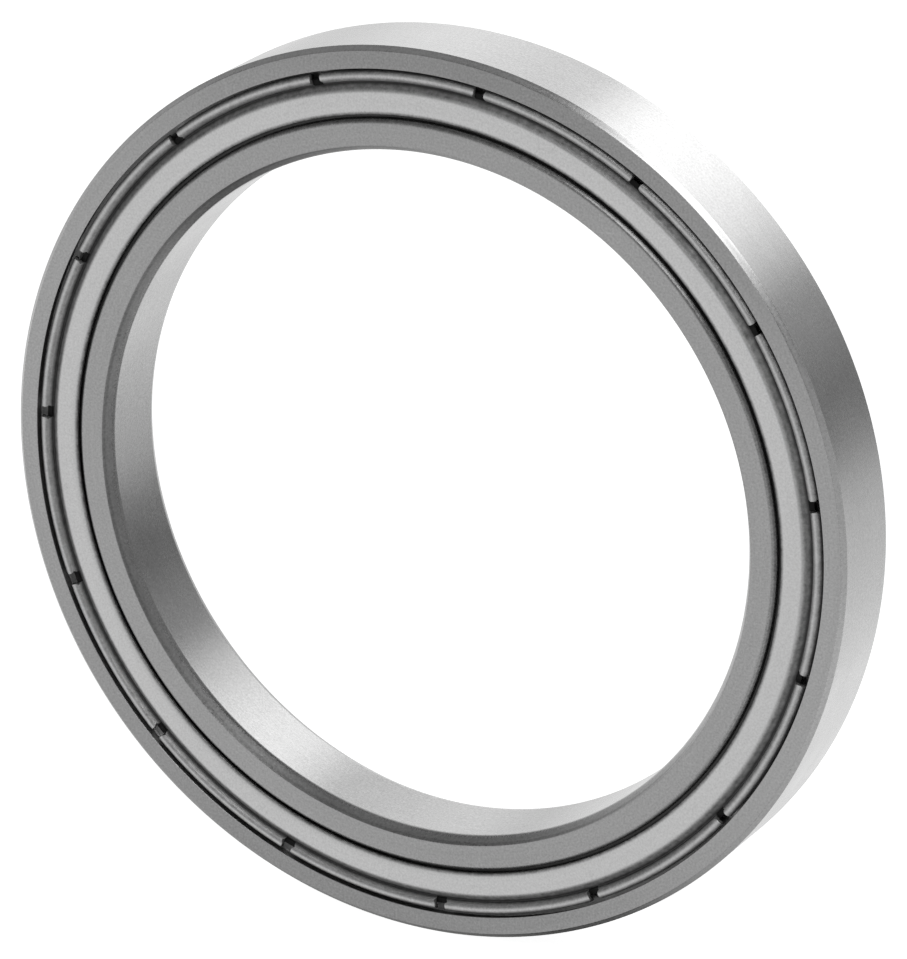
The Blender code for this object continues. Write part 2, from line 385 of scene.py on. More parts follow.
def curl_ring(shape, curl, angle, distance, side):
    """The curl's points at one column, set back from the tab's end where its corners are rounded."""
    inner, outer = CURL_INSIDE / 2, CURL_OUTSIDE / 2
    middle = Vector(((inner + outer) / 2, FACE - CURL_TOP_DEPTH - SHEET / 2))
    fade = max(0.0, 1 - distance / TAB_END_COLUMNS[-1]) ** 2
    verts = []
    for point in curl:
        edge = min(max(min(point.x - inner, outer - point.x), 0.0), NOTCH_CORNER)
        set_back = NOTCH_CORNER - math.sqrt(NOTCH_CORNER**2 - (NOTCH_CORNER - edge) ** 2)
        rise = min(max((point.y - (FACE - NOTCH_DEPTH)) / NOTCH_CORNER_RISE, 0.0), 1.0)
        moved = point
        if distance == 0:
            moved = point + (middle - point).normalized() * TAB_END_ROUNDING
        turn = side * set_back * rise * fade / point.x
        verts.append(shape.verts.new(place(moved.x, angle + turn, moved.y)))
    return verts


def make_shield(name, first_notch, front, material):
    """A shield whose curl is cut through at each notch. The rear one is turned over about the Z axis."""
    front_run, curl, back_run = shield_section()
    shape = bmesh.new()
    columns = []
    for angle, distance, side in shield_columns(first_notch):
        before = [shape.verts.new(place(p.x, angle, p.y)) for p in front_run]
        after = [shape.verts.new(place(p.x, angle, p.y)) for p in back_run]
        folded = [] if distance is None else curl_ring(shape, curl, angle, distance, side)
        columns.append((before, folded, after, distance))
    for i in range(len(columns)):
        left, right = columns[i - 1], columns[i]
        notched = left[3] is None or right[3] is None
        left_loop = left[0] + ([] if notched else left[1]) + left[2]
        right_loop = right[0] + ([] if notched else right[1]) + right[2]
        for j in range(len(left_loop)):
            shape.faces.new((left_loop[j - 1], left_loop[j], right_loop[j], right_loop[j - 1]))
        if notched:
            folded = left if right[3] is None else right
            shape.faces.new([folded[0][-1]] + folded[1] + [folded[2][0]])
    if not front:
        for vert in shape.verts:
            vert.co.x, vert.co.y = -vert.co.x, -vert.co.y
    piece = finish_mesh(name, shape, material)
    keep_flats_flat(piece)
    return piece


def make_ball(number, material):
    """A cube cut fine and pushed out to the ball's radius, so that it has no poles."""
    shape = bmesh.new()
    bmesh.ops.create_cube(shape, size=2)
    bmesh.ops.subdivide_edges(shape, edges=shape.edges[:], cuts=BALL_CUTS, use_grid_fill=True)
    centre = place(PITCH / 2, number * BALL_PITCH_ANGLE, 0)
    for vert in shape.verts:
        spread = Vector([math.tan(c * math.pi / 4) for c in vert.co])
        vert.co = centre + spread.normalized() * BALL / 2 * MM
    return finish_mesh(f"steel_ball_{number + 1:02}", shape, material)


def ribbon_path():
    """The ribbon's middle line over one ball pitch, as (distance on the pitch circle, height, normal)."""
    radius = POCKET_RADIUS + CAGE_SHEET / 2
    flat_height = (CAGE_SEAM + CAGE_SHEET) / 2
    bend_height = flat_height + POCKET_BEND
    bend_place = math.sqrt((radius + POCKET_BEND) ** 2 - bend_height**2)
    lowest = math.atan2(bend_height, bend_place)
    half_pitch = PITCH / 2 * BALL_PITCH_ANGLE / 2
    half = []
    for step in range(POCKET_STEPS):
        angle = math.pi / 2 + (lowest - math.pi / 2) * step / POCKET_STEPS
        normal = Vector((math.cos(angle), math.sin(angle)))
        half.append((radius * normal.x, radius * normal.y, normal))
    for step in range(BEND_STEPS + 1):
        angle = lowest + (math.pi / 2 - lowest) * step / BEND_STEPS
        normal = Vector((math.cos(angle), math.sin(angle)))
        half.append((bend_place - POCKET_BEND * normal.x, bend_height - POCKET_BEND * normal.y, normal))
    for step in range(1, FLAT_STEPS + 1):
        along = bend_place + (half_pitch - bend_place) * step / FLAT_STEPS
        half.append((along, flat_height, Vector((0, 1))))
    other = [(-along, height, Vector((-n.x, n.y))) for along, height, n in reversed(half[1:-1])]
    return other + half


def make_cage_half(name, front, material):
    """A pressed ribbon with a round pocket over each ball, drilled for a rivet between each two."""
    sheet = CAGE_SHEET / 2
    inside, outside = CAGE_BORE / 2, CAGE_OUTSIDE / 2
    ends = [(inside, -sheet), (inside, sheet), (outside, sheet), (outside, -sheet)]
    section = points_of(rounded([(radius, height, CAGE_ROUNDING) for radius, height in ends]))
    shape = bmesh.new()
    columns = []
    for ball in range(BALLS):
        for along, height, normal in ribbon_path():
            column = []
            for radius, offset in section:
                angle = ball * BALL_PITCH_ANGLE + (along + normal.x * offset) / (PITCH / 2)
                column.append(shape.verts.new(place(radius, angle, height + normal.y * offset)))
            columns.append(column)
    for i in range(len(columns)):
        left, right = columns[i - 1], columns[i]
        for j in range(len(section)):
            shape.faces.new((left[j - 1], left[j], right[j], right[j - 1]))
    half = finish_mesh(name, shape, material)
    drill(half)
    if not front:
        # The rear half is turned about the X axis, through a ball, so that its pockets meet the front's
        for vert in half.data.vertices:
            vert.co.y, vert.co.z = -vert.co.y, -vert.co.z
    return half


def rivet_place(number):
    """The middle of the flat between two balls, on the pitch circle."""
    return place(PITCH / 2, (number + 0.5) * BALL_PITCH_ANGLE, 0)


def drill(half):
    """Cuts the rivet holes and keeps the result as the half's own mesh."""
    drills = bmesh.new()
    for number in range(BALLS):
        rod = bmesh.ops.create_cone(
            drills,
            cap_ends=True,
            segments=RIVET_COLUMNS,
            radius1=(RIVET_SHANK / 2 + RIVET_GAP) * MM,
            radius2=(RIVET_SHANK / 2 + RIVET_GAP) * MM,
            depth=4 * CAGE_SHEET * MM,
        )
        for vert in rod["verts"]:
            vert.co = Vector((vert.co.x, vert.co.z, vert.co.y)) + rivet_place(number)
    bmesh.ops.recalc_face_normals(drills, faces=drills.faces)
    mesh = bpy.data.meshes.new("drills")
    drills.to_mesh(mesh)
    drills.free()
    tool = bpy.data.objects.new("drills", mesh)
    bpy.context.scene.collection.objects.link(tool)
    holes = half.modifiers.new("Holes", "BOOLEAN")
    holes.solver = "EXACT"
    holes.operation = "DIFFERENCE"
    holes.object = tool
    bpy.context.view_layer.update()
    drilled = bpy.data.meshes.new_from_object(half.evaluated_get(bpy.context.evaluated_depsgraph_get()))
    half.modifiers.clear()
    undrilled, half.data = half.data, drilled
    bpy.data.meshes.remove(undrilled)
    bpy.data.objects.remove(tool)
    bpy.data.meshes.remove(mesh)
    drilled.shade_smooth()
    drilled.set_sharp_from_angle(angle=SHARP_ANGLE)


def rivet_section():
    """Half of a rivet's outline as (radius, height), from the top of one domed head to the other."""
    under_head = CAGE_SEAM / 2 + CAGE_SHEET + RIVET_GAP
    head, shank = RIVET_HEAD / 2, RIVET_SHANK / 2
    dome = RIVET_HEAD_HEIGHT - RIVET_RIM_HEIGHT
    upper = []
    for step in range(DOME_STEPS + 1):
        angle = math.pi / 2 * step / DOME_STEPS
        height = under_head + RIVET_RIM_HEIGHT + dome * math.cos(angle)
        upper.append((head * math.sin(angle), height))
    upper.append((head - RIVET_EDGE, under_head))
    upper.append((shank + RIVET_THROAT, under_head))
    upper.append((shank, under_head - RIVET_THROAT))
    return upper + [(radius, -height) for radius, height in reversed(upper)]


def make_rivet(number, material):
    """A headed rivet, turned about its own axis. Its two poles are single points."""
    section = rivet_section()
    shape = bmesh.new()
    centre = rivet_place(number)
    columns = []
    poles = [shape.verts.new(centre + place(0, 0, section[i][1])) for i in (0, -1)]
    for column in range(RIVET_COLUMNS):
        angle = TURN * column / RIVET_COLUMNS
        ring = [shape.verts.new(centre + place(radius, angle, height)) for radius, height in section[1:-1]]
        columns.append([poles[0]] + ring + [poles[1]])
    for i in range(RIVET_COLUMNS):
        left, right = columns[i - 1], columns[i]
        for j in range(1, len(section)):
            # Beside a pole two of the corners are the same point, which a face takes once
            corners = [left[j - 1], left[j], right[j], right[j - 1]]
            shape.faces.new(list(dict.fromkeys(corners)))
    return finish_mesh(f"headed_rivet_{number + 1:02}", shape, material)


# Finishes


class Nodes:
    """Adds nodes to one tree and feeds their sockets with values or other sockets."""

    def __init__(self, tree):
        self.tree = tree

    def feed(self, socket, value):
        """Links the socket to another socket, or sets its own value."""
        if isinstance(value, bpy.types.NodeSocket):
            self.tree.links.new(value, socket)
        else:
            socket.default_value = value

    def add(self, kind, inputs=None, **settings):
        """A new shader node of this kind, with its settings made and its inputs fed."""
        node = self.tree.nodes.new("ShaderNode" + kind)
        for name, value in settings.items():
            setattr(node, name, value)
        for name, value in (inputs or {}).items():
            self.feed(node.inputs[name], value)
        return node

    def sum_of(self, operation, *values):
        """One Math node's result, such as MULTIPLY or ADD, of one to three values."""
        node = self.add("Math", {i: value for i, value in enumerate(values)}, operation=operation)
        return node.outputs["Value"]

    def scaled(self, value, lowest, highest, to_lowest=0.0, to_highest=1.0):
        """A value moved smoothly from one range to another, and held at its ends."""
        inputs = {
            "Value": value,
            "From Min": lowest,
            "From Max": highest,
            "To Min": to_lowest,
            "To Max": to_highest,
        }
        return self.add("MapRange", inputs, interpolation_type="SMOOTHSTEP").outputs["Result"]

    def group(self, tree, **inputs):
        """The outputs of a shared effect, whose inputs are named in words joined by underscores."""
        node = self.add("Group")
        node.node_tree = tree
        for name, value in inputs.items():
            self.feed(node.inputs[name.replace("_", " ").title()], value)
        return node.outputs


def new_effect(name, inputs, outputs):
    """An empty shared effect with named numbers in and out, ready for its nodes."""
    tree = bpy.data.node_groups.new(name, "ShaderNodeTree")
    for label, value in inputs.items():
        socket = tree.interface.new_socket(label, in_out="INPUT", socket_type="NodeSocketFloat")
        socket.default_value = value
    for label in outputs:
        tree.interface.new_socket(label, in_out="OUTPUT", socket_type="NodeSocketFloat")
    given = tree.nodes.new("NodeGroupInput").outputs
    result = tree.nodes.new("NodeGroupOutput").inputs
    return Nodes(tree), given, result


def object_place(nodes):
    """Where a point is in its object, as a vector in metres."""
    return nodes.add("TexCoord").outputs["Object"]


def make_ring_place():
    """A point's radius and its distance from the middle plane, in millimetres."""
    nodes, _, result = new_effect("ring place", {}, ["Radius", "Height"])
    xyz = nodes.add("SeparateXYZ", {"Vector": object_place(nodes)}).outputs
    z_squared = nodes.sum_of("MULTIPLY", xyz["Z"], xyz["Z"])
    squares = nodes.sum_of("MULTIPLY_ADD", xyz["X"], xyz["X"], z_squared)
    radius, height = nodes.sum_of("SQRT", squares), nodes.sum_of("ABSOLUTE", xyz["Y"])
    nodes.feed(result["Radius"], nodes.sum_of("MULTIPLY", radius, 1 / MM))
    nodes.feed(result["Height"], nodes.sum_of("MULTIPLY", height, 1 / MM))
    return nodes.tree


def make_turning_marks(ring_place):
    """Fine marks that run round the axis, as turning and grinding leave them."""
    inputs = {"Marks Per Mm": 8.0, "Streaks Per Turn": 6.0, "Contrast": 1.0}
    nodes, given, result = new_effect("turning marks", inputs, ["Marks"])
    spot = nodes.group(ring_place)
    xyz = nodes.add("SeparateXYZ", {"Vector": object_place(nodes)}).outputs
    # Streaks are long round the axis, and marks are close together along it and along the radius
    radius_in_metres = nodes.sum_of("MULTIPLY", spot["Radius"], MM)
    stretch = nodes.sum_of("DIVIDE", given["Streaks Per Turn"], radius_in_metres)
    around_x = nodes.sum_of("MULTIPLY", xyz["X"], stretch)
    around_z = nodes.sum_of("MULTIPLY", xyz["Z"], stretch)
    marks_per_metre = nodes.sum_of("MULTIPLY", given["Marks Per Mm"], 1 / MM)
    along = nodes.sum_of("MULTIPLY", xyz["Y"], marks_per_metre)
    outward = nodes.sum_of("MULTIPLY", spot["Radius"], given["Marks Per Mm"])
    vector = nodes.add("CombineXYZ", {"X": around_x, "Y": along, "Z": around_z}).outputs["Vector"]
    lines = {"Vector": vector, "W": outward, "Scale": 1.0, "Detail": 3.0, "Roughness": 0.6}
    noise = nodes.add("TexNoise", lines, noise_dimensions="4D").outputs["Fac"]
    centred = nodes.sum_of("SUBTRACT", noise, 0.5)
    nodes.feed(result["Marks"], nodes.sum_of("MULTIPLY_ADD", centred, given["Contrast"], 0.5))
    return nodes.tree


def make_satin_speckle():
    """The even fine grain of a satin metal surface."""
    inputs = {"Grains Per Mm": 6.0, "Contrast": 1.0}
    nodes, given, result = new_effect("satin speckle", inputs, ["Speckle"])
    scale = nodes.sum_of("MULTIPLY", given["Grains Per Mm"], 1 / MM)
    grain = {"Vector": object_place(nodes), "Scale": scale, "Detail": 2.0, "Roughness": 0.7}
    centred = nodes.sum_of("SUBTRACT", nodes.add("TexNoise", grain).outputs["Fac"], 0.5)
    nodes.feed(result["Speckle"], nodes.sum_of("MULTIPLY_ADD", centred, given["Contrast"], 0.5))
    return nodes.tree


def make_edge_wear_and_light(ring_place):
    """A broken band along one turned edge, given by its radius and height, used for an edge's own duller
    tone, for painted shade and for painted highlights.
    """
    inputs = {"Edge Radius": 32.5, "Edge Height": 3.2, "Reach": 0.2, "Breakup": 0.5}
    nodes, given, result = new_effect("edge wear and painted light", inputs, ["Mask"])
    spot = nodes.group(ring_place)
    across = nodes.sum_of("SUBTRACT", spot["Radius"], given["Edge Radius"])
    along = nodes.sum_of("SUBTRACT", spot["Height"], given["Edge Height"])
    squares = nodes.sum_of("MULTIPLY_ADD", across, across, nodes.sum_of("MULTIPLY", along, along))
    distance = nodes.sum_of("SQRT", squares)
    near = nodes.sum_of("SUBTRACT", 1.0, nodes.sum_of("DIVIDE", distance, given["Reach"]))
    breaks = {"Vector": object_place(nodes), "Scale": 1.6 / MM, "Detail": 4.0}
    noise = nodes.add("TexNoise", breaks).outputs["Fac"]
    broken = nodes.sum_of("MULTIPLY", nodes.scaled(noise, 0.35, 0.6), given["Breakup"])
    kept = nodes.sum_of("SUBTRACT", 1.0, broken)
    nodes.feed(result["Mask"], nodes.sum_of("MULTIPLY", nodes.scaled(near, 0.0, 1.0), kept))
    return nodes.tree


def make_recess_shade(ring_place):
    """Painted shade in a recess: none at its top, most at its foot, within two radii."""
    inputs = {"Top Height": 3.4, "Foot Height": 2.9, "Inner Radius": 25.0, "Outer Radius": 32.0}
    nodes, given, result = new_effect("painted recess shade", inputs, ["Mask"])
    spot = nodes.group(ring_place)
    blotches = {"Vector": object_place(nodes), "Scale": 2.2 / MM, "Detail": 3.0}
    noise = nodes.add("TexNoise", blotches).outputs["Fac"]
    # The line where the painted shade starts wanders by this much in height
    wander = 0.16
    middle = nodes.sum_of("SUBTRACT", spot["Height"], wander / 2)
    uneven = nodes.sum_of("MULTIPLY_ADD", noise, wander, middle)
    deep = nodes.scaled(uneven, given["Top Height"], given["Foot Height"])
    outside_inner = nodes.sum_of("GREATER_THAN", spot["Radius"], given["Inner Radius"])
    inside_outer = nodes.sum_of("LESS_THAN", spot["Radius"], given["Outer Radius"])
    between = nodes.sum_of("MULTIPLY", outside_inner, inside_outer)
    nodes.feed(result["Mask"], nodes.sum_of("MULTIPLY", deep, between))
    return nodes.tree


def make_notch_shade(ring_place):
    """Painted shade in the notches of a curl, and on the ends of the tabs beside them."""
    inputs = {"First Angle": 0.0, "Notches": 15.0, "Half Width": 0.4}
    nodes, given, result = new_effect("painted notch shade", inputs, ["Mask"])
    xyz = nodes.add("SeparateXYZ", {"Vector": object_place(nodes)}).outputs
    around = nodes.sum_of("ARCTAN2", xyz["Z"], xyz["X"])
    turned_by = nodes.sum_of("SUBTRACT", around, given["First Angle"])
    pitch = nodes.sum_of("DIVIDE", TURN, given["Notches"])
    phase = nodes.sum_of("DIVIDE", turned_by, pitch)
    past_nearest = nodes.sum_of("SUBTRACT", phase, nodes.sum_of("ROUND", phase))
    off_centre = nodes.sum_of("ABSOLUTE", past_nearest)
    radius = nodes.group(ring_place)["Radius"]
    distance = nodes.sum_of("MULTIPLY", nodes.sum_of("MULTIPLY", off_centre, pitch), radius)
    beyond = nodes.sum_of("SUBTRACT", distance, given["Half Width"])
    nodes.feed(result["Mask"], nodes.scaled(beyond, NOTCH_SHADE_FADE, 0.0))
    return nodes.tree


def make_painted_lay_sheen():
    """A painted sheen: the slow change of brightness round a ring that light off its last grinding pass
    gives.
    """
    nodes, given, result = new_effect("painted lay sheen", {"Lay Angle": 0.0}, ["Lay"])
    xyz = nodes.add("SeparateXYZ", {"Vector": object_place(nodes)}).outputs
    around = nodes.sum_of("ARCTAN2", xyz["Z"], xyz["X"])
    turned_by = nodes.sum_of("SUBTRACT", around, nodes.sum_of("RADIANS", given["Lay Angle"]))
    wave = nodes.sum_of("COSINE", nodes.sum_of("MULTIPLY", turned_by, 2.0))
    nodes.feed(result["Lay"], nodes.sum_of("MULTIPLY_ADD", wave, 0.5, 0.5))
    return nodes.tree


def make_hairline_scratches():
    """Sparse thin scratches from handling, each only a few millimetres long."""
    inputs = {"Cells Per Mm": 0.3, "Width": 0.02}
    nodes, given, result = new_effect("hairline scratches", inputs, ["Scratches"])
    position = object_place(nodes)
    bend = nodes.add("TexNoise", {"Vector": position, "Scale": 0.12 / MM, "Detail": 1.0}).outputs["Color"]
    shift = nodes.add("VectorMath", {0: bend, "Scale": 2.5 * MM}, operation="SCALE").outputs["Vector"]
    bent = nodes.add("VectorMath", {0: position, 1: shift}, operation="ADD").outputs["Vector"]
    scale = nodes.sum_of("MULTIPLY", given["Cells Per Mm"], 1 / MM)
    cells = nodes.add("TexVoronoi", {"Vector": bent, "Scale": scale}, feature="DISTANCE_TO_EDGE")
    to_line = nodes.sum_of("DIVIDE", cells.outputs["Distance"], given["Width"])
    line = nodes.sum_of("SUBTRACT", 1.0, to_line)
    patch = nodes.add("TexNoise", {"Vector": position, "Scale": 0.5 / MM, "Detail": 2.0}).outputs["Fac"]
    kept = nodes.scaled(patch, 0.54, 0.66)
    nodes.feed(result["Scratches"], nodes.sum_of("MULTIPLY", nodes.scaled(line, 0.0, 1.0), kept))
    return nodes.tree


def make_oil_film():
    """Broad uneven patches, as thin rust-preventing oil dries on steel."""
    nodes, given, result = new_effect("oil film", {"Patches Per Mm": 0.15}, ["Film"])
    scale = nodes.sum_of("MULTIPLY", given["Patches Per Mm"], 1 / MM)
    patches = {
        "Vector": object_place(nodes),
        "Scale": scale,
        "Detail": 4.0,
        "Roughness": 0.55,
        "Distortion": 0.6,
    }
    noise = nodes.add("TexNoise", patches).outputs["Fac"]
    nodes.feed(result["Film"], nodes.scaled(noise, 0.35, 0.65))
    return nodes.tree


def new_steel(name, roughness, anisotropic):
    """A metal material with its surface node, ready for colour, roughness and bump."""
    material = bpy.data.materials.new(name)
    material.use_nodes = True
    nodes = Nodes(material.node_tree)
    surface = material.node_tree.nodes["Principled BSDF"]
    surface.inputs["Metallic"].default_value = 1.0
    surface.inputs["Roughness"].default_value = roughness
    surface.inputs["Anisotropic"].default_value = anisotropic
    if anisotropic:
        surface.inputs["Anisotropic Rotation"].default_value = 0.25
        tangent = nodes.add("Tangent", direction_type="RADIAL", axis="Y")
        nodes.feed(surface.inputs["Tangent"], tangent.outputs["Tangent"])
    return material, nodes, surface


def weighted_sum(nodes, start, *terms):
    """start plus each (value, weight), with the value taken about its middle of one half."""
    total = start
    for value, weight in terms:
        centred = nodes.sum_of("SUBTRACT", value, 0.5)
        total = nodes.sum_of("MULTIPLY_ADD", centred, weight, total)
    return total


def set_bump(nodes, surface, *terms):
    """A Bump node on the surface from (value, depth in micrometres) terms."""
    height = 0.0
    for value, depth in terms:
        height = nodes.sum_of("MULTIPLY_ADD", value, depth, height)
    bump = nodes.add("Bump", {"Height": height, "Distance": 1e-6, "Strength": 1.0})
    nodes.feed(surface.inputs["Normal"], bump.outputs["Normal"])


def grey(nodes, surface, value):
    """Feeds the base colour with a neutral grey of this brightness."""
    colour = nodes.add("CombineColor", {"Red": value, "Green": value, "Blue": value})
    nodes.feed(surface.inputs["Base Color"], colour.outputs["Color"])


def make_ring_steel(effects, name, side_brightness, face_brightness, lay, dull_and_shaded_edges, painted_highlight_edges, recess):
    """Hardened ring steel: ground sides and faces with a painted sheen round the face, rougher chamfers,
    painted highlights and painted shade along some edges, and painted shade in the recess by the shield.

    A dull and shaded edge is (radius, height, reach, darkening): it is rougher, and its darkening is partly
    the edge's own duller tone and partly painted shade. It is paler where its darkening is negative.
    """
    material, nodes, surface = new_steel(name, 0.3, 0.35)
    spot = nodes.group(effects["ring place"])
    on_face = nodes.scaled(spot["Height"], FACE - 0.03, FACE - 0.004)
    marks = nodes.group(effects["turning marks"], marks_per_mm=7.0, streaks_per_turn=3.0)["Marks"]
    speckle = nodes.group(effects["satin speckle"], grains_per_mm=6.0)["Speckle"]
    film = nodes.group(effects["oil film"], patches_per_mm=0.14)["Film"]
    scratches = nodes.group(effects["hairline scratches"], cells_per_mm=0.22)["Scratches"]
    lay_angle, sheen_weight = lay
    # Painted sheen: the face is lighter and darker twice round the ring, as light off its grinding lay
    # would make it
    ground = nodes.group(effects["painted lay sheen"], lay_angle=lay_angle)["Lay"]
    face_with_sheen = nodes.sum_of("MULTIPLY_ADD", ground, sheen_weight, face_brightness - sheen_weight / 2)
    brightness = nodes.scaled(on_face, 0.0, 1.0, side_brightness, face_with_sheen)
    brightness = weighted_sum(nodes, brightness, (marks, 0.10), (speckle, 0.42), (film, 0.03))
    dull = 0.0
    # Rougher edges, darkened partly by their own duller tone and partly by painted shade
    for radius, height, reach, darkening in dull_and_shaded_edges:
        edge = {"edge_radius": radius, "edge_height": height, "reach": reach, "breakup": 0.15}
        mask = nodes.group(effects["edge wear and painted light"], **edge)["Mask"]
        brightness = nodes.sum_of("MULTIPLY_ADD", mask, -darkening, brightness)
        dull = nodes.sum_of("MAXIMUM", dull, mask)
    # Painted highlights: thin paler lines along these edges
    for radius, height in painted_highlight_edges:
        mask = nodes.group(effects["edge wear and painted light"], edge_radius=radius, edge_height=height, reach=0.1)["Mask"]
        brightness = nodes.sum_of("MULTIPLY_ADD", mask, 0.07, brightness)
    brightness = nodes.sum_of("MULTIPLY_ADD", scratches, 0.04, brightness)
    # Painted shade in the recess by the shield, darkest at its foot
    inner_radius, outer_radius, top_height, foot_height, amount = recess
    recess_shade = nodes.group(
        effects["painted recess shade"],
        top_height=top_height,
        foot_height=foot_height,
        inner_radius=inner_radius,
        outer_radius=outer_radius,
    )["Mask"]
    unshaded = nodes.sum_of("SUBTRACT", 1.0, nodes.sum_of("MULTIPLY", recess_shade, amount))
    grey(nodes, surface, nodes.sum_of("MULTIPLY", brightness, unshaded))
    roughness = nodes.scaled(on_face, 0.0, 1.0, 0.25, 0.36)
    roughness = weighted_sum(nodes, roughness, (film, 0.05), (speckle, 0.10))
    roughness = nodes.sum_of("MULTIPLY_ADD", dull, 0.10, roughness)
    nodes.feed(surface.inputs["Roughness"], nodes.sum_of("MULTIPLY_ADD", recess_shade, 0.2, roughness))
    set_bump(nodes, surface, (marks, 1.2), (speckle, 2.5), (scratches, -0.6))
    return material


def make_shield_steel(effects, name, first_notch):
    """Bright pressed sheet with a soft satin skin, rougher with painted shade along its rounded edges, and
    painted shade in its channel and notches.
    """
    material, nodes, surface = new_steel(name, 0.32, 0.0)
    spot = nodes.group(effects["ring place"])
    marks = nodes.group(effects["turning marks"], marks_per_mm=5.0, streaks_per_turn=4.0)["Marks"]
    speckle = nodes.group(effects["satin speckle"], grains_per_mm=6.0)["Speckle"]
    film = nodes.group(effects["oil film"], patches_per_mm=0.2)["Film"]
    scratches = nodes.group(effects["hairline scratches"], cells_per_mm=0.3)["Scratches"]
    brightness = weighted_sum(nodes, 0.80, (marks, 0.06), (speckle, 0.40), (film, 0.03))
    roughness = weighted_sum(nodes, 0.36, (film, 0.05), (speckle, 0.08))
    # The lip, the channel's slope and the curl's two shoulders: rougher, and darkened with painted shade
    # that keeps highlights off them
    rough_shaded_edges = [
        (SHIELD_BORE / 2, 0.21, 0.30, 0.60),
        (SHIELD_STEP / 2 + 0.20, 0.24, 0.34, 0.46),
        (CURL_INSIDE / 2 + 0.05, 0.18, 0.30, 0.44),
        (CURL_OUTSIDE / 2, 0.18, 0.42, 0.54),
    ]
    for radius, depth, reach, darkening in rough_shaded_edges:
        edge = {"edge_radius": radius, "edge_height": FACE - depth, "reach": reach, "breakup": 0.2}
        edge_shade = nodes.group(effects["edge wear and painted light"], **edge)["Mask"]
        brightness = nodes.sum_of("MULTIPLY_ADD", edge_shade, -darkening, brightness)
        roughness = nodes.sum_of("MULTIPLY_ADD", edge_shade, 0.3, roughness)
    brightness = nodes.sum_of("MULTIPLY_ADD", scratches, -0.06, brightness)
    # Painted shade in the channel and the notches, darkest at their foot
    recess_shade = nodes.group(
        effects["painted recess shade"],
        top_height=FACE - 0.16,
        foot_height=FACE - 0.54,
        inner_radius=SHIELD_STEP / 2 - 0.1,
        outer_radius=GROOVE_ROOT / 2,
    )["Mask"]
    notch_edge = {"first_angle": first_notch, "notches": NOTCHES, "half_width": NOTCH_WIDTH / 2}
    in_notch = nodes.group(effects["painted notch shade"], **notch_edge)["Mask"]
    past_channel = nodes.scaled(spot["Radius"], CHANNEL_OUTSIDE / 2 - 0.1, CHANNEL_OUTSIDE / 2)
    in_notch = nodes.sum_of("MULTIPLY", in_notch, past_channel)
    for soil, amount in [(recess_shade, 0.84), (in_notch, 0.85)]:
        unshaded = nodes.sum_of("SUBTRACT", 1.0, nodes.sum_of("MULTIPLY", soil, amount))
        brightness = nodes.sum_of("MULTIPLY", brightness, unshaded)
    grey(nodes, surface, brightness)
    nodes.feed(surface.inputs["Roughness"], nodes.sum_of("MULTIPLY_ADD", recess_shade, 0.25, roughness))
    set_bump(nodes, surface, (marks, 0.8), (speckle, 2.4), (scratches, -0.8))
    return material


def make_ball_steel(effects):
    """Lapped ball steel, near a mirror, with faint running marks."""
    material, nodes, surface = new_steel("polished_ball_finish", 0.08, 0.0)
    speckle = nodes.group(effects["satin speckle"], grains_per_mm=10.0)["Speckle"]
    film = nodes.group(effects["oil film"], patches_per_mm=0.5)["Film"]
    scratches = nodes.group(effects["hairline scratches"], cells_per_mm=1.2)["Scratches"]
    grey(nodes, surface, weighted_sum(nodes, 0.72, (film, 0.05), (speckle, 0.04)))
    roughness = weighted_sum(nodes, 0.09, (film, 0.05))
    nodes.feed(surface.inputs["Roughness"], nodes.sum_of("MULTIPLY_ADD", scratches, 0.12, roughness))
    set_bump(nodes, surface, (speckle, 0.1), (scratches, -0.4))
    return material


def make_cage_steel(effects):
    """Tumbled steel strip, dull grey with small dents."""
    material, nodes, surface = new_steel("tumbled_cage_finish", 0.4, 0.0)
    marks = nodes.group(effects["turning marks"], marks_per_mm=4.0, streaks_per_turn=12.0)["Marks"]
    speckle = nodes.group(effects["satin speckle"], grains_per_mm=4.0)["Speckle"]
    film = nodes.group(effects["oil film"], patches_per_mm=0.4)["Film"]
    grey(nodes, surface, weighted_sum(nodes, 0.45, (marks, 0.06), (speckle, 0.18), (film, 0.08)))
    nodes.feed(surface.inputs["Roughness"], weighted_sum(nodes, 0.4, (film, 0.1), (speckle, 0.1)))
    set_bump(nodes, surface, (marks, 0.6), (speckle, 3.0))
    return material


def make_rivet_steel(effects):
    """Headed wire, satin grey with a few brighter scratches."""
    material, nodes, surface = new_steel("headed_rivet_finish", 0.35, 0.0)
    speckle = nodes.group(effects["satin speckle"], grains_per_mm=9.0)["Speckle"]
    film = nodes.group(effects["oil film"], patches_per_mm=0.8)["Film"]
    scratches = nodes.group(effects["hairline scratches"], cells_per_mm=2.0)["Scratches"]
    brightness = weighted_sum(nodes, 0.42, (speckle, 0.16), (film, 0.08))
    grey(nodes, surface, nodes.sum_of("MULTIPLY_ADD", scratches, 0.1, brightness))
    nodes.feed(surface.inputs["Roughness"], weighted_sum(nodes, 0.34, (film, 0.12)))
    set_bump(nodes, surface, (speckle, 1.4), (scratches, -1.0))
    return material


def make_effects():
    """The shared effects, each built once."""
    ring_place = make_ring_place()
    trees = [
        ring_place,
        make_turning_marks(ring_place),
        make_satin_speckle(),
        make_edge_wear_and_light(ring_place),
        make_recess_shade(ring_place),
        make_notch_shade(ring_place),
        make_painted_lay_sheen(),
        make_hairline_scratches(),
        make_oil_film(),
    ]
    return {tree.name: tree for tree in trees}


# The studio


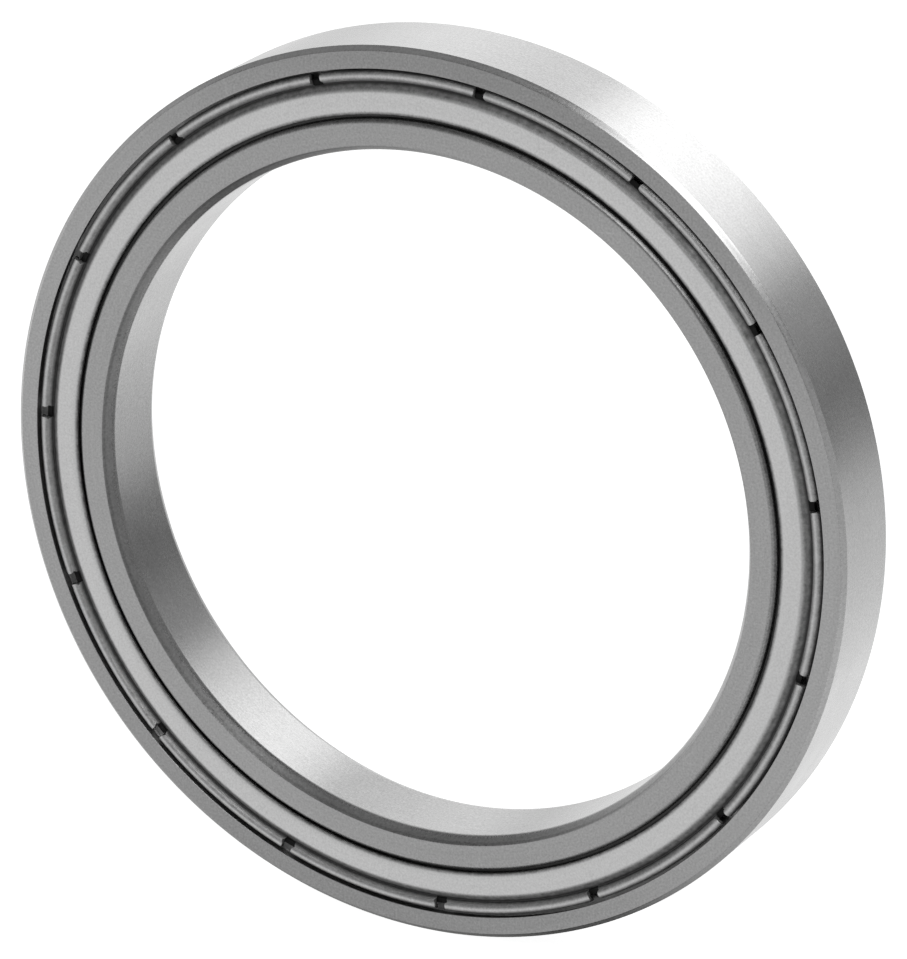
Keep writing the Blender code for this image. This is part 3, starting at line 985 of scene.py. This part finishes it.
def make_floor():
    """A plain pale floor under the bearing's rim, nearly as bright as the backdrop."""
    shape = bmesh.new()
    bmesh.ops.create_grid(shape, x_segments=1, y_segments=1, size=FLOOR_REACH)
    for vert in shape.verts:
        vert.co.z = -OUTSIDE / 2 * MM
    mesh = bpy.data.meshes.new("floor")
    shape.to_mesh(mesh)
    shape.free()
    floor = bpy.data.objects.new("floor", mesh)
    bpy.context.scene.collection.objects.link(floor)
    material = bpy.data.materials.new("pale_floor")
    material.use_nodes = True
    nodes = Nodes(material.node_tree)
    nodes.tree.nodes.remove(nodes.tree.nodes["Principled BSDF"])
    glow = nodes.add("Emission", {"Color": (1, 1, 1, 1), "Strength": FLOOR_GLOW}).outputs["Emission"]
    matt = nodes.add("BsdfDiffuse", {"Color": (0.6, 0.6, 0.6, 1)}).outputs["BSDF"]
    both = nodes.add("AddShader", {0: glow, 1: matt}).outputs["Shader"]
    nodes.feed(nodes.tree.nodes["Material Output"].inputs["Surface"], both)
    mesh.materials.append(material)
    floor.visible_glossy = False
    floor.visible_shadow = False


def light_studio():
    """Broad soft lights round the bearing, and a white backdrop behind it."""
    world = bpy.data.worlds.new("studio")
    bpy.context.scene.world = world
    world.use_nodes = True
    nodes = Nodes(world.node_tree)
    towards = nodes.add("TexCoord").outputs["Generated"]
    total = ROOM_LIGHT
    for direction, full, faded, strength in SOFT_LIGHTS.values():
        unit = Vector(direction).normalized()
        dot = nodes.add("VectorMath", {0: towards, 1: unit}, operation="DOT_PRODUCT")
        lowest, highest = math.cos(math.radians(faded)), math.cos(math.radians(full))
        glow = nodes.scaled(dot.outputs["Value"], lowest, highest, 0.0, strength)
        total = nodes.sum_of("ADD", total, glow)
    room = nodes.tree.nodes["Background"]
    nodes.feed(room.inputs["Color"], (1, 1, 1, 1))
    nodes.feed(room.inputs["Strength"], nodes.sum_of("MAXIMUM", total, 0.0))
    backdrop = nodes.add("Background", {"Color": (1, 1, 1, 1), "Strength": 1.0})
    seen = nodes.add("LightPath").outputs["Is Camera Ray"]
    sides = {0: seen, 1: room.outputs["Background"], 2: backdrop.outputs["Background"]}
    shown = nodes.add("MixShader", sides)
    nodes.feed(nodes.tree.nodes["World Output"].inputs["Surface"], shown.outputs["Shader"])


def set_camera():
    """The camera looks at the bearing's centre from the front, above and to the right."""
    towards_eye = Vector(
        (
            math.sin(EYE_AZIMUTH) * math.cos(EYE_ELEVATION),
            -math.cos(EYE_AZIMUTH) * math.cos(EYE_ELEVATION),
            math.sin(EYE_ELEVATION),
        )
    )
    camera = bpy.data.objects.new("camera", bpy.data.cameras.new("camera"))
    bpy.context.scene.collection.objects.link(camera)
    camera.location = towards_eye * EYE_DISTANCE
    camera.rotation_euler = (-towards_eye).to_track_quat("-Z", "Y").to_euler()
    camera.data.sensor_fit = "HORIZONTAL"
    camera.data.sensor_width = SENSOR_WIDTH
    camera.data.lens = LENS
    camera.data.shift_x, camera.data.shift_y = SHIFT
    camera.data.clip_start = CLIP_START
    bpy.context.scene.camera = camera
    bpy.context.scene.view_settings.view_transform = "Standard"


# Assembly


def fit(piece, body, node):
    """Mounts a finished piece on its body in place of a CAD node."""
    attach(piece, body)
    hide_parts(node)


def build():
    """Makes every finish and every piece, and mounts each piece on its body."""
    effects = make_effects()
    outer_steel = make_ring_steel(
        effects,
        "outer_ring_finish",
        side_brightness=0.60,
        face_brightness=0.475,
        # Painted sheen round the outer ring's face, lightest at this angle
        lay=(-10.0, 0.14),
        dull_and_shaded_edges=[(OUTSIDE / 2 - OUTSIDE_CHAMFER / 2, FACE - OUTSIDE_CHAMFER / 2, 0.3, -0.06)],
        # Painted highlights along the chamfer's edge and the groove's mouth
        painted_highlight_edges=[(OUTSIDE / 2, FACE - OUTSIDE_CHAMFER), (GROOVE_MOUTH / 2, FACE)],
        # Painted shade in the shield's groove, down to the land
        recess=(OUTER_LAND / 2 - 0.1, GROOVE_ROOT / 2 + 0.1, FACE - 0.2, FACE - 0.8, 0.35),
    )
    inner_steel = make_ring_steel(
        effects,
        "inner_ring_finish",
        side_brightness=0.52,
        face_brightness=0.51,
        lay=(20.0, 0.03),
        # The bore chamfer's own duller tone with its edge darker still, and painted shade on the shoulder's
        # chamfer
        dull_and_shaded_edges=[
            (BORE / 2 + BORE_CHAMFER / 2, FACE - BORE_CHAMFER_LENGTH / 2, 0.5, 0.06),
            (BORE / 2 + BORE_CHAMFER - 0.08, FACE - 0.14, 0.25, 0.16),
            (INNER_SHOULDER / 2 - 0.07, FACE - 0.08, 0.24, 0.42),
        ],
        # Painted highlight along the bore's edge
        painted_highlight_edges=[(BORE / 2, FACE - BORE_CHAMFER_LENGTH)],
        # Painted shade on the shoulder's wall under the shield's edge
        recess=(INNER_SHOULDER / 2 - 0.02, INNER_LAND / 2 + 0.1, FACE - 0.30, FACE - 0.54, 0.84),
    )
    front_shield_steel = make_shield_steel(effects, "front_shield_finish", FRONT_NOTCH_ANGLE)
    # The rear shield is turned over about the Z axis, and its notches with it
    turned_over = math.pi - REAR_NOTCH_ANGLE
    rear_shield_steel = make_shield_steel(effects, "rear_shield_finish", turned_over)
    ball_steel = make_ball_steel(effects)
    cage_steel = make_cage_steel(effects)
    rivet_steel = make_rivet_steel(effects)

    fit(make_outer_ring(outer_steel), "outer_ring_body", "outer_ring")
    fit(make_inner_ring(inner_steel), "inner_ring_body", "inner_ring")
    front_shield = make_shield("front_shield_pressed", FRONT_NOTCH_ANGLE, True, front_shield_steel)
    fit(front_shield, "outer_ring_body", "front_shield")
    rear_shield = make_shield("rear_shield_pressed", REAR_NOTCH_ANGLE, False, rear_shield_steel)
    fit(rear_shield, "outer_ring_body", "rear_shield")
    front_cage = make_cage_half("front_cage_ribbon", True, cage_steel)
    fit(front_cage, "cage_body", "cage_front")
    rear_cage = make_cage_half("rear_cage_ribbon", False, cage_steel)
    fit(rear_cage, "cage_body", "cage_rear")
    for number in range(BALLS):
        label = f"{number + 1:02}"
        ball = make_ball(number, ball_steel)
        fit(ball, f"ball_{label}_body", f"ball_{label}")
        rivet = make_rivet(number, rivet_steel)
        fit(rivet, "cage_body", f"rivet_{label}")


build()
make_floor()
light_studio()
set_camera()
